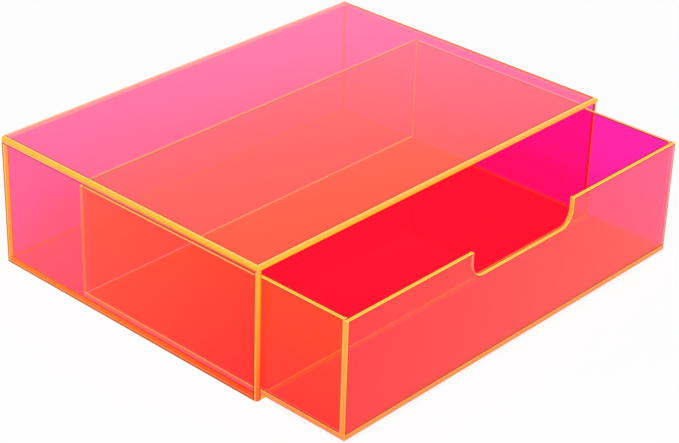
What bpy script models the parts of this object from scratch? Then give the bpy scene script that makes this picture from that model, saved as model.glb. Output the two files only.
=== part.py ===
"""Acrylic desk organizer: a five-panel casing and a five-panel drawer that slides out of its front.

Metres, +Z up. The front faces -Y and +X is to the right, seen from the front.
The origin is the middle of the casing's underside. The drawer is modelled partly open.
"""
import math

import bpy
import bmesh
from mathutils import Vector

# Driving sizes of the casing
casing_width = 0.300
casing_depth = 0.215
casing_height = 0.0855
casing_sheet = 0.003

# Driving sizes of the drawer
drawer_sheet = 0.003
drawer_pull_out = 0.0617
notch_width = 0.090
notch_depth = 0.0174
notch_radius = 0.010

# Clearances
joint_gap = 0.0003
running_gap = 0.0003
side_clearance = 0.0008
head_clearance = 0.0048
rear_clearance = 0.003

# Finish of the sheet: every arris is polished, and the casing's edges that a hand meets are rounded
arris = 0.0003
arris_steps = 2
hand_round = 0.002
hand_round_steps = 6
circular_profile = 0.5
arc_steps = 12

# Edges that turn by less than this stay as they are, and points nearer than this share of an arris are one
smooth_angle = math.radians(40)
same_place_share = 0.1

# Places that the casing's sizes give
left_x = -casing_width / 2
right_x = casing_width / 2
front_y = -casing_depth / 2
back_y = casing_depth / 2
ceiling_z = casing_height - casing_sheet
inner_width = casing_width - 2 * casing_sheet
inner_depth = casing_depth - casing_sheet

# The drawer fills the casing's mouth, less its clearances, and closes flush with the casing's front
drawer_width = inner_width - 2 * side_clearance
drawer_depth = inner_depth - rear_clearance
drawer_floor_z = casing_sheet + running_gap
drawer_rim_z = ceiling_z - head_clearance
drawer_front_y = front_y - drawer_pull_out
same_place = arris * same_place_share


def clear_scene():
    for item in list(bpy.data.objects):
        bpy.data.objects.remove(item, do_unlink=True)


def tinted_acrylic(name, colour):
    """A clear, tinted, polished sheet."""
    material = bpy.data.materials.new(name)
    material.use_nodes = True
    shader = material.node_tree.nodes["Principled BSDF"]
    shader.inputs["Base Color"].default_value = (*colour, 1.0)
    shader.inputs["Roughness"].default_value = 0.03
    shader.inputs["Metallic"].default_value = 0.0
    shader.inputs["IOR"].default_value = 1.49
    shader.inputs["Transmission Weight"].default_value = 0.9
    return material


def pivot(name, place):
    """An empty that carries one of the two boxes."""
    empty = bpy.data.objects.new(name, None)
    empty.location = place
    bpy.context.collection.objects.link(empty)
    return empty


def rectangle(width, height):
    """The outline of a plain panel, centred on its lower edge, counter-clockwise."""
    half = width / 2
    return [(-half, 0), (half, 0), (half, height), (-half, height)]


def notched_rectangle(width, height, notch, depth, radius):
    """A panel's outline with a finger notch in the middle of its upper edge, round in its lower corners."""
    half = width / 2
    floor = height - depth
    side = notch / 2
    fillet = min(radius, depth, side)
    outline = [(-half, 0), (half, 0), (half, height), (side, height)]
    for step in range(arc_steps + 1):
        turn = math.radians(90) * step / arc_steps
        outline.append((side - fillet + fillet * math.cos(turn), floor + fillet - fillet * math.sin(turn)))
    for step in range(arc_steps + 1):
        turn = math.radians(90) * step / arc_steps
        outline.append((-side + fillet - fillet * math.sin(turn), floor + fillet - fillet * math.cos(turn)))
    outline += [(-side, height), (-half, height)]
    return outline


def without_repeats(outline):
    """The outline less any point that falls on the one before it."""
    kept = []
    for point in outline:
        if not kept or (Vector(point) - Vector(kept[-1])).length > same_place:
            kept.append(point)
    return kept


def edges_along(shape, toward, height):
    """The edges that lie furthest out in a direction of a panel's plane, at one height of its thickness."""
    reach = max(corner.co.xy.dot(toward) for corner in shape.verts)
    found = []
    for edge in shape.edges:
        level = all(abs(corner.co.z - height) < same_place for corner in edge.verts)
        outmost = all(corner.co.xy.dot(toward) > reach - same_place for corner in edge.verts)
        if level and outmost:
            found.append(edge)
    return found


def panel(name, outline, sheet, place, turn, carrier, colour, hand_sides=(), hand_height=0):
    """A panel cut to an outline in its own XY plane, as thick as the sheet along +Z, with polished arrises.

    Its edges towards the hand sides, at the hand height of its thickness, are rounded.
    """
    shape = bmesh.new()
    corners = [shape.verts.new((x, y, 0)) for x, y in without_repeats(outline)]
    face = shape.faces.new(corners)
    raised = bmesh.ops.extrude_face_region(shape, geom=[face])
    top = [item for item in raised["geom"] if isinstance(item, bmesh.types.BMVert)]
    bmesh.ops.translate(shape, verts=top, vec=Vector((0, 0, sheet)))
    bmesh.ops.recalc_face_normals(shape, faces=shape.faces)

    polished = shape.edges.layers.float.new("bevel_weight_edge")
    hand_edges = []
    for toward in hand_sides:
        hand_edges += edges_along(shape, Vector(toward), hand_height)
    for edge in shape.edges:
        edge[polished] = float(edge.calc_face_angle() > smooth_angle and edge not in hand_edges)
    if hand_edges:
        bmesh.ops.bevel(shape, geom=hand_edges, affect="EDGES", offset=min(hand_round, sheet - 2 * arris),
                        segments=hand_round_steps, profile=circular_profile, clamp_overlap=True)
    mesh = bpy.data.meshes.new(name)
    shape.to_mesh(mesh)
    shape.free()
    mesh.materials.append(tinted_acrylic(name, colour))

    piece = bpy.data.objects.new(name, mesh)
    bpy.context.collection.objects.link(piece)
    piece.parent = carrier
    piece.location = place
    piece.rotation_euler = turn

    polish = piece.modifiers.new("polished arrises", "BEVEL")
    polish.width = arris
    polish.segments = arris_steps
    polish.limit_method = "WEIGHT"
    return piece


# How a panel is turned: lying flat, standing across the front, or standing along a side.
# A lying panel's thickness goes up, a standing one's goes to the front or to the right.
LYING = (0, 0, 0)
ACROSS = (math.radians(90), 0, 0)
ALONG = (math.radians(90), 0, math.radians(90))

# Directions in a panel's own plane. On a lying one DOWN is to the front, and on one along a side LEFT is.
LEFT = (-1, 0)
RIGHT = (1, 0)
DOWN = (0, -1)

CASING_COLOUR = (1.0, 0.16, 0.38)
DRAWER_COLOUR = (1.0, 0.13, 0.12)


def make_casing():
    """Top over everything, sides down to the desk, with the back and the bottom held between them.

    The top is rounded at its front and sides, and the sides are rounded where they face the front.
    """
    carrier = pivot("casing", (0, 0, 0))
    wall_height = ceiling_z - joint_gap
    between = inner_width - 2 * joint_gap
    back_foot = casing_sheet + joint_gap

    panel("casing_top", rectangle(casing_width, casing_depth), casing_sheet,
          (0, front_y, ceiling_z), LYING, carrier, CASING_COLOUR, (LEFT, RIGHT, DOWN), casing_sheet)
    panel("casing_bottom", rectangle(between, casing_depth), casing_sheet,
          (0, front_y, 0), LYING, carrier, CASING_COLOUR)
    panel("casing_left_side", rectangle(casing_depth, wall_height), casing_sheet,
          (left_x, 0, 0), ALONG, carrier, CASING_COLOUR, (LEFT,), 0)
    panel("casing_right_side", rectangle(casing_depth, wall_height), casing_sheet,
          (right_x - casing_sheet, 0, 0), ALONG, carrier, CASING_COLOUR, (LEFT,), casing_sheet)
    panel("casing_back", rectangle(between, wall_height - back_foot), casing_sheet,
          (0, back_y, back_foot), ACROSS, carrier, CASING_COLOUR)


def make_drawer():
    """Four walls on a bottom panel. The front and the back run the whole width and cover the sides' ends."""
    carrier = pivot("drawer_slide", (0, drawer_front_y, drawer_floor_z))
    half = drawer_width / 2
    foot = drawer_sheet + joint_gap
    wall_height = drawer_rim_z - drawer_floor_z - foot
    side_length = drawer_depth - 2 * (drawer_sheet + joint_gap)
    side_middle = drawer_depth / 2
    front_outline = notched_rectangle(drawer_width, wall_height, notch_width, notch_depth, notch_radius)

    panel("drawer_bottom", rectangle(drawer_width, drawer_depth), drawer_sheet,
          (0, 0, 0), LYING, carrier, DRAWER_COLOUR)
    panel("drawer_front", front_outline, drawer_sheet,
          (0, drawer_sheet, foot), ACROSS, carrier, DRAWER_COLOUR)
    panel("drawer_back", rectangle(drawer_width, wall_height), drawer_sheet,
          (0, drawer_depth, foot), ACROSS, carrier, DRAWER_COLOUR)
    panel("drawer_left_side", rectangle(side_length, wall_height), drawer_sheet,
          (-half, side_middle, foot), ALONG, carrier, DRAWER_COLOUR)
    panel("drawer_right_side", rectangle(side_length, wall_height), drawer_sheet,
          (half - drawer_sheet, side_middle, foot), ALONG, carrier, DRAWER_COLOUR)


clear_scene()
make_casing()
make_drawer()
bpy.context.view_layer.update()
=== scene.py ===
"""Acrylic desk organizer: the looks of its ten tinted sheets, on a white table in soft light."""

import math

import bmesh
import bpy
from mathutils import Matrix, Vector


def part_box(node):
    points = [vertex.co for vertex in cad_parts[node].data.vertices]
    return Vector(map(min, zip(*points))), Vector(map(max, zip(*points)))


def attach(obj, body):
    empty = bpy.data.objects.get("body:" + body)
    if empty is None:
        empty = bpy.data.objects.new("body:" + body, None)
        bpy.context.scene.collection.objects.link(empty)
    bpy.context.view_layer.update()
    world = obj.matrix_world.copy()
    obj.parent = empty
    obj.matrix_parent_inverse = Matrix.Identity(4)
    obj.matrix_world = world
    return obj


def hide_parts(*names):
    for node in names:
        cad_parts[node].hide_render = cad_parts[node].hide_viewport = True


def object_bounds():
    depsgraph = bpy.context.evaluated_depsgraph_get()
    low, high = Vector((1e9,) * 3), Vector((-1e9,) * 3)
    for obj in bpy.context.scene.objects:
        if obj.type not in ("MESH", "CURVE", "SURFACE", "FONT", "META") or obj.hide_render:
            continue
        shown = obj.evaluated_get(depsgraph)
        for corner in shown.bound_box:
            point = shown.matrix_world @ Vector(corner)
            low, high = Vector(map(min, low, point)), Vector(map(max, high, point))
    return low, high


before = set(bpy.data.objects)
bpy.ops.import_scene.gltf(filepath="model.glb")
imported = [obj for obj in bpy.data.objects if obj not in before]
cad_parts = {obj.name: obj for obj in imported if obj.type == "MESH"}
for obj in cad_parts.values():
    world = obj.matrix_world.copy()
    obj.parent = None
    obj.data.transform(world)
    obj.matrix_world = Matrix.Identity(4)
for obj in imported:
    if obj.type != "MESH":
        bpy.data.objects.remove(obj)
cad_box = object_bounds()

# Sizes in metres: the casing's half width and height, which the frame gives, and those of its details
half_width, _, height = cad_box[1]
hand_round = 0.002
hand_round_steps = 8
arris = 0.0003
arris_steps = 2
circular_profile = 0.5
notch_width = 0.090
notch_depth = 0.0174
notch_radius = 0.010
arc_steps = 14
sharp_angle = math.radians(40)

# The margins of painted shade: along a broad face's edges, and along the inner edge of a cut end
rim = 0.0009
end_rim = 0.0006

# Optics of the sheet. A tint is the share of red, green and blue that passes through a whole sheet, and a
# skin is the part of it that the outer face takes. The weaker refraction keeps reflections of the table low.
REFRACTION = 1.49
WEAKER_REFRACTION = 1.2
CASING_TINT = (1.0, 0.10, 0.60)
CASING_SKIN = (1.0, 0.34, 0.85)
DRAWER_TINT = (1.0, 0.020, 0.48)
DRAWER_FLOOR_TINT = (1.0, 0.006, 0.09)
DRAWER_SKIN = (1.0, 0.16, 0.70)
# A rim's share of the tint is painted shade along a broad face's edges; the rim's share of the glow and the
# inner faces' glow are painted glow
RIM_SHADE_SHARE = (0.32, 0.15, 0.02)
RIM_PAINTED_GLOW_SHARE = 0.6
INNER_PAINTED_GLOW = (0.10, 0.001, 0.0)
SHINE = (0.3, 0.1, 0.0)
TOP_SHINE = (1.0, 0.8, 0.4)
END_BASE = (0.05, 0.02, 0.0)
END_GLOSS = 0.2
CEMENT_ALPHA = 0.3

# How many times a painted glow's green and blue grow for each sheet that it is seen through, and the most
# sheets that count
THROUGH_CASING = (3.0, 2.2)
THROUGH_DRAWER = (9.0, 3.0)
THROUGH_BOTH = (19.0, 1.6)
THROUGH_LINE = (48.0, 2.0)
THROUGH_BACK = (24.0, 2.0)
THROUGH_TOP = (3.4, 2.4)
THROUGH_LEFT = (1.8, 1.0)
MOST_SHEETS = 3

# Waves in a surface: their size and depth in metres, and the greatest roughness
SHEET_RELIEF = (0.03, 0.00002, 0.012)
END_RELIEF = (0.0008, 0.00002, 0.3)
CEMENT_RELIEF = (0.002, 0.00001, 0.5)

# Patches where a colour dims: their size in metres, and the least share of the colour
TINT_PATCHES = (0.05, 0.96)
GLOW_PATCHES = (0.012, 0.9)
CEMENT_PATCHES = (0.004, 0.7)

# The detail of the noise that makes both
NOISE_DETAIL = 2.0

# A rounded edge takes its crest's colour, a painted highlight, where its normal leans this far to the broad
# face
CREST_START = 0.75
CREST_END = 0.95

# The table: how far it is plain white to the camera, and to what reflects it or is seen through, and its size
WHITE_SHARE = 0.9
THROUGH_SHARE = 0.25
table_half_side = 6.0
table_level = -0.0001
table_roughness = 0.6

# The studio is bright up to a low height of the sky, and dim above a high one
HORIZON_STRENGTH = 1.0
OVERHEAD_STRENGTH = 0.35
SKY_LOW = 0.1
SKY_HIGH = 0.45

# The lamp in metres and watts, and the camera in metres, degrees, millimetres and shares of the picture
lamp_place = (-1.1, -0.9, 1.7)
lamp_side = 1.2
lamp_power = 33.0
camera_place = (-0.7955, -0.7483, 0.6186)
camera_turn = (62.073, -1.223, -46.448)
camera_lens = 105.96
camera_shift = (0.0335, -0.0568)
camera_near = 0.05

# Places in a sheet's list of materials
OUTER, INNER, EDGE, RIM, CREST = range(5)

# Directions, and the spans that colours drift over: a direction, with where it starts and ends
UP = (0, 0, 1)
ACROSS = (1, 0, 0)
BACK = (0, 1, 0)
TALL = (UP, 0.0, height)
WIDE = (ACROSS, -half_width, half_width)
LONG = (BACK, -0.1, 0.1)


def add_node(tree, kind, **settings):
    node = tree.nodes.new(kind)
    for name, value in settings.items():
        setattr(node, name, value)
    return node


def feed(tree, socket, value):
    """Links a socket to another one, or gives it a colour or a number."""
    if isinstance(value, bpy.types.NodeSocket):
        tree.links.new(value, socket)
    elif isinstance(value, tuple):
        socket.default_value = (*value, 1.0)
    else:
        socket.default_value = value


def object_place(tree):
    """Coordinates in metres that stay with the piece when its body moves."""
    return add_node(tree, "ShaderNodeTexCoord").outputs["Object"]


def noise(tree, size):
    """Soft noise in patches of about a size in metres."""
    node = add_node(tree, "ShaderNodeTexNoise")
    feed(tree, node.inputs["Vector"], object_place(tree))
    node.inputs["Scale"].default_value = 1 / size
    node.inputs["Detail"].default_value = NOISE_DETAIL
    return node.outputs["Fac"]


def spread(tree, value, low, high, start=0.0, end=1.0):
    """A number that goes evenly from low to high while a value goes from the start to the end."""
    node = add_node(tree, "ShaderNodeMapRange")
    feed(tree, node.inputs["Value"], value)
    node.inputs["From Min"].default_value = start
    node.inputs["From Max"].default_value = end
    node.inputs["To Min"].default_value = low
    node.inputs["To Max"].default_value = high
    return node.outputs["Result"]


def blend(tree, factor, first, second, blend_type="MIX"):
    """A mix of two colours."""
    node = add_node(tree, "ShaderNodeMix", data_type="RGBA", blend_type=blend_type)
    feed(tree, node.inputs["Factor"], factor)
    feed(tree, node.inputs[6], first)
    feed(tree, node.inputs[7], second)
    return node.outputs[2]


def calculate(tree, operation, first, second=0.0):
    """One sum of two values."""
    node = add_node(tree, "ShaderNodeMath", operation=operation)
    feed(tree, node.inputs[0], first)
    feed(tree, node.inputs[1], second)
    return node.outputs[0]


def through_sheets(tree, colour, gain):
    """A painted glow's colour, with its green and blue raised by the gain for each sheet that it is seen
    through.

    The painted glow is orange, and the dye lets it pass. The tints take the green out of white light alone. A
    sheet has two faces, and a ray that was scattered on its way gains nothing.
    """
    path = add_node(tree, "ShaderNodeLightPath")
    faces = calculate(tree, "MINIMUM", path.outputs["Transmission Depth"], 2.0 * MOST_SHEETS)
    sheets = calculate(tree, "FLOOR", calculate(tree, "MULTIPLY", faces, 0.5))
    straight = calculate(tree, "LESS_THAN", path.outputs["Diffuse Depth"], 0.5)
    sheets = calculate(tree, "MULTIPLY", sheets, straight)
    split = add_node(tree, "ShaderNodeSeparateColor")
    joined = add_node(tree, "ShaderNodeCombineColor")
    feed(tree, split.inputs[0], colour)
    feed(tree, joined.inputs["Red"], split.outputs["Red"])
    for part, strength in zip(("Green", "Blue"), gain):
        raised = calculate(tree, "POWER", strength, sheets)
        feed(tree, joined.inputs[part], calculate(tree, "MULTIPLY", split.outputs[part], raised))
    return joined.outputs[0]


def drift(tree, span, low, high):
    """A colour that drifts from low to high over a span."""
    direction, start, end = span
    along = add_node(tree, "ShaderNodeVectorMath", operation="DOT_PRODUCT")
    feed(tree, along.inputs[0], object_place(tree))
    along.inputs[1].default_value = Vector(direction).normalized()
    return blend(tree, spread(tree, along.outputs["Value"], 0.0, 1.0, start, end), low, high)


def uneven(tree, colour, size, least):
    """A colour that dims here and there, down to the least share of itself."""
    patches = blend(tree, noise(tree, size), (least, least, least), (1.0, 1.0, 1.0))
    return blend(tree, 1.0, colour, patches, "MULTIPLY")


def surface(name):
    """A new material with its tree and its shader."""
    material = bpy.data.materials.new(name)
    material.use_nodes = True
    tree = material.node_tree
    return material, tree, tree.nodes["Principled BSDF"]


def add_relief(tree, shader, size, depth, dull):
    """Faint waves of a size and a depth, and a roughness that varies up to dull."""
    waves = add_node(tree, "ShaderNodeBump")
    waves.inputs["Distance"].default_value = depth
    feed(tree, waves.inputs["Height"], noise(tree, size))
    feed(tree, shader.inputs["Normal"], waves.outputs["Normal"])
    feed(tree, shader.inputs["Roughness"], spread(tree, noise(tree, size), 0.0, dull))


def clear_faces(name, tint, shine=SHINE, glow=None, is_rim=False, bend=REFRACTION):
    """The broad faces of a sheet: clear and tinted, with a faint painted glow that stands for the glow of the
    dye.

    A ray is tinted by the square root of the tint at each face that it passes. The painted glow is a span
    with its two colours, or nothing where the face looks into the box, which then has the inner painted glow.
    A rim is darker, as painted shade, and its painted glow is weaker.
    """
    material, tree, shader = surface(name)
    if is_rim:
        # A rim has a darker tint, painted shade, and a weaker painted glow
        span, *colours = glow
        glow = (span, *(tuple(part * RIM_PAINTED_GLOW_SHARE for part in colour) for colour in colours))
        tint = tuple(part * less for part, less in zip(tint, RIM_SHADE_SHARE))
    size, least = TINT_PATCHES
    weaker = tuple(part * least for part in tint)
    feed(tree, shader.inputs["Base Color"], blend(tree, noise(tree, size), weaker, tint))
    add_relief(tree, shader, *SHEET_RELIEF)
    shader.inputs["IOR"].default_value = bend
    feed(tree, shader.inputs["Specular Tint"], shine)
    shader.inputs["Transmission Weight"].default_value = 1.0
    # Painted glow: emission on the broad faces, and a weaker one on faces that look into the box
    feed(tree, shader.inputs["Emission Color"], drift(tree, *glow) if glow else INNER_PAINTED_GLOW)
    shader.inputs["Emission Strength"].default_value = 1.0
    return material


def rest_of(tint, skin):
    """The tint of a sheet's other face, where one face has the skin and the whole sheet has the tint."""
    return tuple(whole * whole / part for whole, part in zip(tint, skin))


def painted_glow_ends(name, span, low, high, gain=THROUGH_CASING, gloss=END_GLOSS, crest=None, crest_axis="Z"):
    """The cut ends of a sheet, with a painted glow that stands for the light that the dye holds inside and
    lets out.

    The painted glow drifts from low to high over the span. The crest, a painted highlight, is the colour of a
    rounded edge where it turns into the broad face, which looks up for the axis Z, or to either side for X.
    """
    material, tree, shader = surface(name)
    feed(tree, shader.inputs["Base Color"], END_BASE)
    shader.inputs["IOR"].default_value = REFRACTION
    shader.inputs["Specular IOR Level"].default_value = gloss
    add_relief(tree, shader, *END_RELIEF)
    colour = drift(tree, span, low, high)
    if crest:
        facing = add_node(tree, "ShaderNodeSeparateXYZ")
        feed(tree, facing.inputs[0], add_node(tree, "ShaderNodeNewGeometry").outputs["Normal"])
        turned = facing.outputs[crest_axis]
        if crest_axis == "X":
            turned = calculate(tree, "ABSOLUTE", turned)
        # Painted highlight: the crest's paler colour where the round turns to the broad face
        colour = blend(tree, spread(tree, turned, 0.0, 1.0, CREST_START, CREST_END), colour, crest)
    colour = through_sheets(tree, uneven(tree, colour, *GLOW_PATCHES), gain)
    # Painted glow: the cut end's emission stands in for the light that it gives off
    feed(tree, shader.inputs["Emission Color"], colour)
    shader.inputs["Emission Strength"].default_value = 1.0
    return material


def cement(name, colour):
    """Clear cement between two sheets: straight through, with a little painted glow."""
    material, tree, shader = surface(name)
    feed(tree, shader.inputs["Base Color"], colour)
    add_relief(tree, shader, *CEMENT_RELIEF)
    # Painted glow in the cement's own colour
    feed(tree, shader.inputs["Emission Color"], uneven(tree, colour, *CEMENT_PATCHES))
    shader.inputs["Emission Strength"].default_value = 1.0
    shader.inputs["Alpha"].default_value = CEMENT_ALPHA
    return material


def notched_outline(low, high):
    """The drawer front seen along Y: a rectangle with a finger notch in the middle of its upper edge."""
    floor = high.z - notch_depth
    middle = (low.x + high.x) / 2
    side = notch_width / 2
    outline = [(low.x, low.z), (high.x, low.z), (high.x, high.z), (middle + side, high.z)]
    turns = [math.radians(90) * step / arc_steps for step in range(arc_steps + 1)]
    for turn in turns:
        outline.append((middle + side - notch_radius * (1 - math.cos(turn)),
                        floor + notch_radius * (1 - math.sin(turn))))
    for turn in turns:
        outline.append((middle - side + notch_radius * (1 - math.sin(turn)),
                        floor + notch_radius * (1 - math.cos(turn))))
    outline += [(middle - side, high.z), (low.x, high.z)]
    return outline


def side_of(normal):
    """The name of the side that a face looks to."""
    axis = max(range(3), key=lambda number: abs(normal[number]))
    return ("-" if normal[axis] < 0 else "+") + "xyz"[axis]


def is_near(face, side, box, reach):
    """Whether the middle of a face lies within reach of one side of a box."""
    axis = "xyz".index(side[1])
    level = box[0][axis] if side[0] == "-" else box[1][axis]
    return abs(face.calc_center_median()[axis] - level) < reach


def plate(node):
    """A sheet with sharp edges in the place of a CAD node."""
    low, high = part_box(node)
    thin = min(range(3), key=lambda axis: high[axis] - low[axis])
    across, up = [axis for axis in range(3) if axis != thin]
    if node == "drawer_front":
        outline = notched_outline(low, high)
    else:
        outline = [(low[across], low[up]), (high[across], low[up]),
                   (high[across], high[up]), (low[across], high[up])]
    shape = bmesh.new()
    corners = []
    for first, second in outline:
        place = Vector((0, 0, 0))
        place[thin] = low[thin]
        place[across] = first
        place[up] = second
        corners.append(shape.verts.new(place))
    base = shape.faces.new(corners)
    raised = bmesh.ops.extrude_face_region(shape, geom=[base])
    moved = [item for item in raised["geom"] if isinstance(item, bmesh.types.BMVert)]
    lift = Vector((0, 0, 0))
    lift[thin] = high[thin] - low[thin]
    bmesh.ops.translate(shape, verts=moved, vec=lift)
    bmesh.ops.recalc_face_normals(shape, faces=shape.faces)
    return shape


def round_hand_edges(shape, outward, rounded):
    """Rounds the edges between the outward side and the rounded ones."""
    lines = []
    for line in shape.edges:
        sides = {side_of(face.normal) for face in line.link_faces}
        if any(sides == {outward, side} for side in rounded):
            lines.append(line)
    if lines:
        made = bmesh.ops.bevel(shape, geom=lines, affect="EDGES", offset=hand_round,
                               segments=hand_round_steps, profile=circular_profile, material=CREST)
        for face in made["faces"]:
            face.smooth = True


def polish_arrises(shape):
    """Bevels every sharp edge that isn't part of a round."""
    sharp = []
    for line in shape.edges:
        on_round = all(face.material_index == CREST for face in line.link_faces)
        if line.calc_face_angle(0) > sharp_angle and not on_round:
            sharp.append(line)
    bmesh.ops.bevel(shape, geom=sharp, affect="EDGES", offset=arris, segments=arris_steps,
                    profile=circular_profile, material=EDGE)


def inset(shape, faces, width):
    """Cuts a margin of a width off faces, and returns the faces of the margin."""
    return bmesh.ops.inset_region(shape, faces=faces, thickness=width, use_even_offset=True)["faces"]


def make_sheet(node, body, outward, outer, inner, edge, ends, margin=None, rounded=(), crest=None,
               lines=None, bare=(), shaded=()):
    """A sheet in the place of a CAD node. Every look is the name of a material.

    The broad face on the outward side has the outer look, and the other has the inner one. Ends gives the
    look of each end by its side, and edge is the look of the arrises. Lines gives other looks to single
    arrises, by the pair of sides that they lie between. A margin is the look of the outer face's rim, a
    painted shade, which the bare sides don't have. The edges between the outward side and the rounded ones
    are rounded, with the crest's look, a painted highlight. The shaded ends have a margin of painted shade
    along their inner edge, which looks like the arris beside it.
    """
    names = [outer, inner, edge, margin or outer, crest or edge]
    lines = lines or {}
    for name in [*ends.values(), *lines.values()]:
        if name not in names:
            names.append(name)
    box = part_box(node)
    shape = plate(node)
    inward = ("-" if outward[0] == "+" else "+") + outward[1]
    for face in shape.faces:
        side = side_of(face.normal)
        if side in ends:
            face.material_index = names.index(ends[side])
        else:
            face.material_index = OUTER if side == outward else INNER

    round_hand_edges(shape, outward, rounded)
    polish_arrises(shape)
    # The rim: a margin of painted shade along the outer face's edges
    if margin:
        broad = [face for face in shape.faces if face.material_index == OUTER]
        for face in inset(shape, broad, rim):
            face.material_index = RIM
    # Painted shade: a margin along the inner edge of each shaded end, in the look of the dark arris beside it
    for side in shaded:
        end = [face for face in shape.faces if side_of(face.normal) == side and face.material_index > CREST]
        for face in inset(shape, end, end_rim):
            if is_near(face, inward, box, arris + end_rim):
                face.material_index = names.index(lines[(inward, side)])
    for face in shape.faces:
        if face.material_index == EDGE:
            for pair, name in lines.items():
                if all(is_near(face, side, box, arris) for side in pair):
                    face.material_index = names.index(name)
        elif face.material_index == RIM and any(is_near(face, side, box, arris + rim) for side in bare):
            face.material_index = OUTER

    mesh = bpy.data.meshes.new(node + "_sheet")
    shape.to_mesh(mesh)
    shape.free()
    for name in names:
        mesh.materials.append(looks[name])
    piece = bpy.data.objects.new(node + "_sheet", mesh)
    bpy.context.scene.collection.objects.link(piece)
    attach(piece, body)
    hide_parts(node)
    return piece


def make_floor():
    """A white table that keeps the object's shadow."""
    shape = bmesh.new()
    bmesh.ops.create_grid(shape, x_segments=1, y_segments=1, size=table_half_side)
    mesh = bpy.data.meshes.new("table")
    shape.to_mesh(mesh)
    shape.free()
    floor = bpy.data.objects.new("table", mesh)
    floor.location.z = table_level
    bpy.context.scene.collection.objects.link(floor)
    material, tree, shader = surface("table_white")
    feed(tree, shader.inputs["Base Color"], (1.0, 1.0, 1.0))
    shader.inputs["Roughness"].default_value = table_roughness
    shader.inputs["Specular IOR Level"].default_value = 0.0
    rays = add_node(tree, "ShaderNodeLightPath")
    seen = spread(tree, rays.outputs["Is Camera Ray"], 0.0, WHITE_SHARE)
    for kind in ("Is Glossy Ray", "Is Transmission Ray"):
        seen = calculate(tree, "MAXIMUM", seen, spread(tree, rays.outputs[kind], 0.0, THROUGH_SHARE))
    mix = add_node(tree, "ShaderNodeMixShader")
    feed(tree, mix.inputs["Fac"], seen)
    feed(tree, mix.inputs[1], shader.outputs[0])
    feed(tree, mix.inputs[2], add_node(tree, "ShaderNodeEmission").outputs[0])
    feed(tree, tree.nodes["Material Output"].inputs["Surface"], mix.outputs[0])
    mesh.materials.append(material)


def make_world():
    """A white studio, bright all round the horizon and dimmer overhead."""
    world = bpy.data.worlds.new("studio")
    bpy.context.scene.world = world
    world.use_nodes = True
    tree = world.node_tree
    background = tree.nodes["Background"]
    feed(tree, background.inputs["Color"], (1.0, 1.0, 1.0))
    direction = add_node(tree, "ShaderNodeSeparateXYZ")
    feed(tree, direction.inputs[0], add_node(tree, "ShaderNodeTexCoord").outputs["Generated"])
    strength = spread(tree, direction.outputs["Z"], HORIZON_STRENGTH, OVERHEAD_STRENGTH, SKY_LOW, SKY_HIGH)
    feed(tree, background.inputs["Strength"], strength)


def make_lamp():
    """A large soft box above and to the front left."""
    light = bpy.data.lights.new("softbox", "AREA")
    light.shape = "SQUARE"
    light.size = lamp_side
    light.energy = lamp_power
    lamp = bpy.data.objects.new("softbox", light)
    lamp.location = lamp_place
    lamp.rotation_euler = (-lamp.location).to_track_quat("-Z", "Y").to_euler()
    lamp.visible_glossy = False
    bpy.context.scene.collection.objects.link(lamp)


def make_camera():
    """The photo's view, from the front left and above."""
    camera = bpy.data.objects.new("camera", bpy.data.cameras.new("camera"))
    camera.location = camera_place
    camera.rotation_euler = [math.radians(turn) for turn in camera_turn]
    camera.data.lens = camera_lens
    camera.data.shift_x, camera.data.shift_y = camera_shift
    camera.data.clip_start = camera_near
    bpy.context.scene.collection.objects.link(camera)
    bpy.context.scene.camera = camera


make_camera()
make_world()
make_lamp()
make_floor()

# The faint painted glow of the broad faces: a span, and the colours at its start and end
top_glow = (((0.3, 0.7, 0), -0.13, 0.13), (0.14, 0.085, 0.015), (0.17, 0.133, 0.105))
side_glow = (((0, 1, 1), -0.064, 0.113), (0.10, 0.020, 0.0), (0.10, 0.098, 0.010))
drawer_side_glow = (TALL, (0.10, 0.034, 0.010), (0.10, 0.066, 0.002))
front_glow = (WIDE, (0.10, 0.028, 0.008), (0.10, 0.070, 0.022))
floor_glow = ((BACK, -0.17, 0.04), (0.10, 0.006, 0.010), (0.10, 0.006, 0.012))

casing_rest = rest_of(CASING_TINT, CASING_SKIN)
drawer_rest = rest_of(DRAWER_TINT, DRAWER_SKIN)
weaker_bend = {"bend": WEAKER_REFRACTION}

# The broad faces: the tint, and what differs from the usual settings
FACES = {
    "casing_inner": (casing_rest, {}),
    "casing_side_inner": (casing_rest, weaker_bend),
    "casing_top_face": (CASING_SKIN, {"shine": TOP_SHINE, "glow": top_glow}),
    "casing_top_rim": (CASING_SKIN, {"shine": TOP_SHINE, "glow": top_glow, "is_rim": True}),
    "casing_side_face": (CASING_SKIN, {"glow": side_glow, **weaker_bend}),
    "casing_side_rim": (CASING_SKIN, {"glow": side_glow, "is_rim": True, **weaker_bend}),
    "drawer_inner": (drawer_rest, weaker_bend),
    "drawer_front_inner": (drawer_rest, {}),
    "drawer_floor": (DRAWER_FLOOR_TINT, {"glow": floor_glow, **weaker_bend}),
    "drawer_front_face": (DRAWER_SKIN, {"glow": front_glow}),
    "drawer_front_rim": (DRAWER_SKIN, {"glow": front_glow, "is_rim": True}),
    "drawer_side_face": (DRAWER_SKIN, {"glow": drawer_side_glow, **weaker_bend}),
    "drawer_side_rim": (DRAWER_SKIN, {"glow": drawer_side_glow, "is_rim": True, **weaker_bend}),
}
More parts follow.
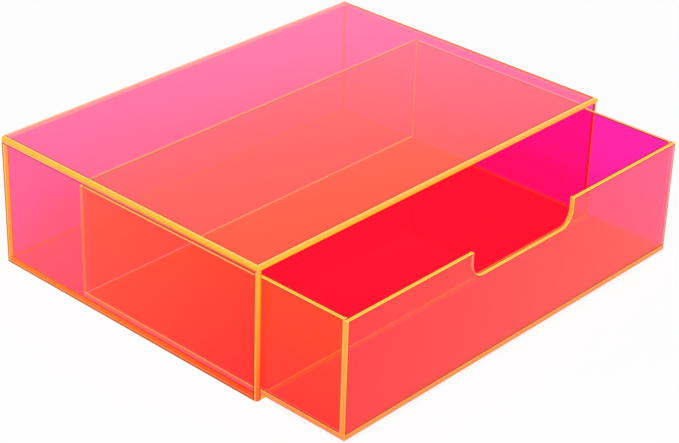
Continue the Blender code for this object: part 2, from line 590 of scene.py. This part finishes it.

# Cut ends, arrises and lines, all with painted glow: a span, the colours at its start and end, and what
# differs from the usual. The dark lines are painted shade, and the crests painted highlights.
GOLD = (0.97, 0.50, 0.025)
# Crest colours: painted highlights on the rounded edges
pale_crest_highlight = {"crest": (1.0, 0.62, 0.16)}
orange_crest_highlight = {"crest": (1.0, 0.36, 0.07), "crest_axis": "X", "gain": THROUGH_DRAWER}
drawer_gain = {"gain": THROUGH_DRAWER}
matt = {"gloss": 0.0}
ENDS = {
    "top_front": (WIDE, (0.88, 0.52, 0.02), (1.0, 0.43, 0.03), {}),
    "top_side": (LONG, (0.90, 0.34, 0.02), (0.95, 0.46, 0.045), {}),
    "top_crest": (WIDE, (0.92, 0.52, 0.03), (1.0, 0.43, 0.03), pale_crest_highlight),
    "top_back": (TALL, (0.93, 0.70, 0.20), (0.93, 0.70, 0.20), {}),
    "side_front": (TALL, (0.95, 0.10, 0.01), GOLD, drawer_gain),
    "left_front": (TALL, (0.93, 0.03, 0.01), (0.95, 0.27, 0.015), drawer_gain),
    "side_crest": (TALL, (0.95, 0.10, 0.01), GOLD, orange_crest_highlight),
    "side_back": (TALL, (0.88, 0.66, 0.0), (0.88, 0.80, 0.02), {}),
    "side_foot": (LONG, (0.80, 0.22, 0.03), (0.80, 0.40, 0.02), {}),
    "bottom_front": (WIDE, (0.95, 0.45, 0.03), (0.95, 0.5, 0.03), {"gain": THROUGH_BOTH}),
    "bottom_side": (LONG, (1.0, 0.22, 0.0), (1.0, 0.50, 0.0), {}),
    "back_side": (TALL, (1.0, 0.76, 0.0), (1.0, 0.92, 0.02), {}),
    "back_top": (WIDE, (1.0, 0.60, 0.16), (1.0, 0.60, 0.16), {}),
    "drawer_top": (WIDE, (1.0, 0.52, 0.07), (1.0, 0.50, 0.09), {"gain": THROUGH_TOP}),
    "drawer_left_top": (WIDE, (1.0, 0.52, 0.07), (1.0, 0.50, 0.09), {"gain": THROUGH_LEFT}),
    "drawer_right_top": ((BACK, -0.16, 0.03), (1.0, 0.40, 0.24), (1.0, 0.44, 0.24), {}),
    "drawer_corner": (TALL, (1.0, 0.24, 0.035), (1.0, 0.40, 0.05), {}),
    "drawer_right": (TALL, (1.0, 0.80, 0.40), (1.0, 0.95, 0.50), drawer_gain),
    "bottom_line": (TALL, (1.0, 0.60, 0.10), (1.0, 0.60, 0.10), {"gain": THROUGH_LINE}),
    "back_line": (TALL, (1.0, 0.60, 0.12), (1.0, 0.60, 0.12), {"gain": THROUGH_BACK}),
    "drawer_far": (TALL, (1.0, 0.36, 0.12), (1.0, 0.42, 0.16), drawer_gain),
    "drawer_foot": (WIDE, (0.90, 0.25, 0.06), (0.90, 0.25, 0.08), {}),
    "casing_edge": (TALL, (1.0, 0.34, 0.10), (1.0, 0.60, 0.24), {}),
    "pale_line": (LONG, (1.0, 0.08, 0.02), (1.0, 0.50, 0.45), {}),
    # Painted glow at the front of the top's lower arris, turning into painted shade towards the back
    "top_glow_and_shade_line": (LONG, (1.0, 0.20, 0.04), (0.45, 0.03, 0.02), matt),
    # Dark lines of painted shade along lower and inner arrises
    "deep_shade_line": (TALL, (0.36, 0.0, 0.0), (0.38, 0.0, 0.0), matt),
    "dark_shade_line": (TALL, (0.42, 0.01, 0.0), (0.46, 0.02, 0.0), matt),
    "joint_line": (TALL, (0.96, 0.01, 0.06), (0.96, 0.02, 0.08), {}),
    "faint_shade_line": (TALL, (0.45, 0.05, 0.01), (0.50, 0.05, 0.01), matt),
    "drawer_edge": (TALL, (1.0, 0.40, 0.05), (1.0, 0.76, 0.14), drawer_gain),
}

looks = {}
for name, (tint, settings) in FACES.items():
    looks[name] = clear_faces(name, tint, **settings)
for name, (span, low, high, settings) in ENDS.items():
    looks[name] = painted_glow_ends(name, span, low, high, **settings)
looks["seam"] = cement("seam", (1.0, 0.40, 0.30))
looks["drawer_seam"] = cement("drawer_seam", (1.0, 0.04, 0.05))

make_sheet("casing_top", "casing", "+z", "casing_top_face", "casing_inner", "casing_edge",
           {"-x": "top_side", "-y": "top_front", "+x": "top_back", "+y": "top_back"},
           margin="casing_top_rim", rounded=("-x", "+x", "-y"), crest="top_crest", bare=("+y",),
           lines={("-x", "-z"): "top_glow_and_shade_line", ("-y", "-z"): "deep_shade_line", ("+x", "-z"): "deep_shade_line"})
make_sheet("casing_left_side", "casing", "-x", "casing_side_face", "casing_side_inner", "casing_edge",
           {"-y": "left_front", "+y": "side_back", "-z": "side_foot", "+z": "seam"},
           margin="casing_side_rim", rounded=("-y",), crest="side_crest",
           lines={("-x", "+z"): "pale_line", ("+x", "-y"): "dark_shade_line"})
make_sheet("casing_right_side", "casing", "+x", "casing_side_face", "casing_side_inner", "casing_edge",
           {"-y": "side_front", "+y": "side_back", "-z": "side_foot", "+z": "seam"},
           margin="casing_side_rim", rounded=("-y",), crest="side_crest",
           lines={("+x", "+z"): "pale_line", ("-x", "-y"): "dark_shade_line"})
make_sheet("casing_bottom", "casing", "-z", "casing_side_face", "casing_side_inner", "casing_edge",
           {"-x": "bottom_side", "+x": "bottom_side", "-y": "bottom_front", "+y": "side_back"},
           lines={("-x", "+z"): "dark_shade_line", ("-x", "-z"): "dark_shade_line", ("+x", "+z"): "dark_shade_line",
                  ("-y", "+z"): "bottom_line", ("-y", "-z"): "bottom_line", ("+y", "+z"): "back_line"})
make_sheet("casing_back", "casing", "+y", "casing_side_face", "casing_side_inner", "casing_edge",
           {"-x": "back_side", "+x": "seam", "-z": "seam", "+z": "back_top"},
           lines={("-x", "-y"): "dark_shade_line", ("+x", "-y"): "faint_shade_line", ("-y", "-z"): "faint_shade_line"})
make_sheet("drawer_bottom", "drawer", "-z", "drawer_floor", "drawer_floor", "drawer_edge",
           {"-x": "drawer_foot", "-y": "drawer_foot", "+x": "drawer_far", "+y": "drawer_far"},
           lines={("-x", "-z"): "dark_shade_line"})
make_sheet("drawer_front", "drawer", "-y", "drawer_front_face", "drawer_front_inner", "drawer_edge",
           {"-x": "drawer_corner", "+x": "drawer_right", "-z": "seam", "+z": "drawer_top"},
           margin="drawer_front_rim", shaded=("+z",),
           lines={("+y", "+z"): "deep_shade_line", ("+y", "-z"): "faint_shade_line"})
make_sheet("drawer_back", "drawer", "+y", "drawer_side_face", "drawer_inner", "drawer_edge",
           {"-x": "drawer_corner", "+x": "drawer_corner", "-z": "seam", "+z": "drawer_top"},
           shaded=("+z",),
           lines={("-x", "-y"): "faint_shade_line", ("-y", "-z"): "back_line", ("-y", "+z"): "faint_shade_line",
                  ("+y", "-z"): "faint_shade_line"})
make_sheet("drawer_left_side", "drawer", "-x", "drawer_side_face", "drawer_inner", "drawer_edge",
           {"-y": "seam", "+y": "seam", "-z": "seam", "+z": "drawer_left_top"},
           margin="drawer_side_rim", bare=("+y", "-y"), shaded=("+z",),
           lines={("-x", "+y"): "drawer_side_face", ("+x", "+y"): "drawer_inner", ("+x", "+z"): "deep_shade_line",
                  ("+x", "-z"): "faint_shade_line"})
make_sheet("drawer_right_side", "drawer", "+x", "drawer_side_face", "drawer_inner", "drawer_edge",
           {"-y": "seam", "+y": "seam", "-z": "drawer_seam", "+z": "drawer_right_top"},
           margin="drawer_side_rim", bare=("-z", "+y", "-y"), shaded=("+z",),
           lines={("-x", "-z"): "joint_line", ("-x", "+z"): "dark_shade_line"})

# Bounces enough for what shows through many sheets
scene = bpy.context.scene
scene.view_settings.view_transform = "Standard"
scene.cycles.max_bounces = 40
scene.cycles.transmission_bounces = 40
scene.cycles.glossy_bounces = 24
scene.cycles.diffuse_bounces = 3
scene.cycles.transparent_max_bounces = 24
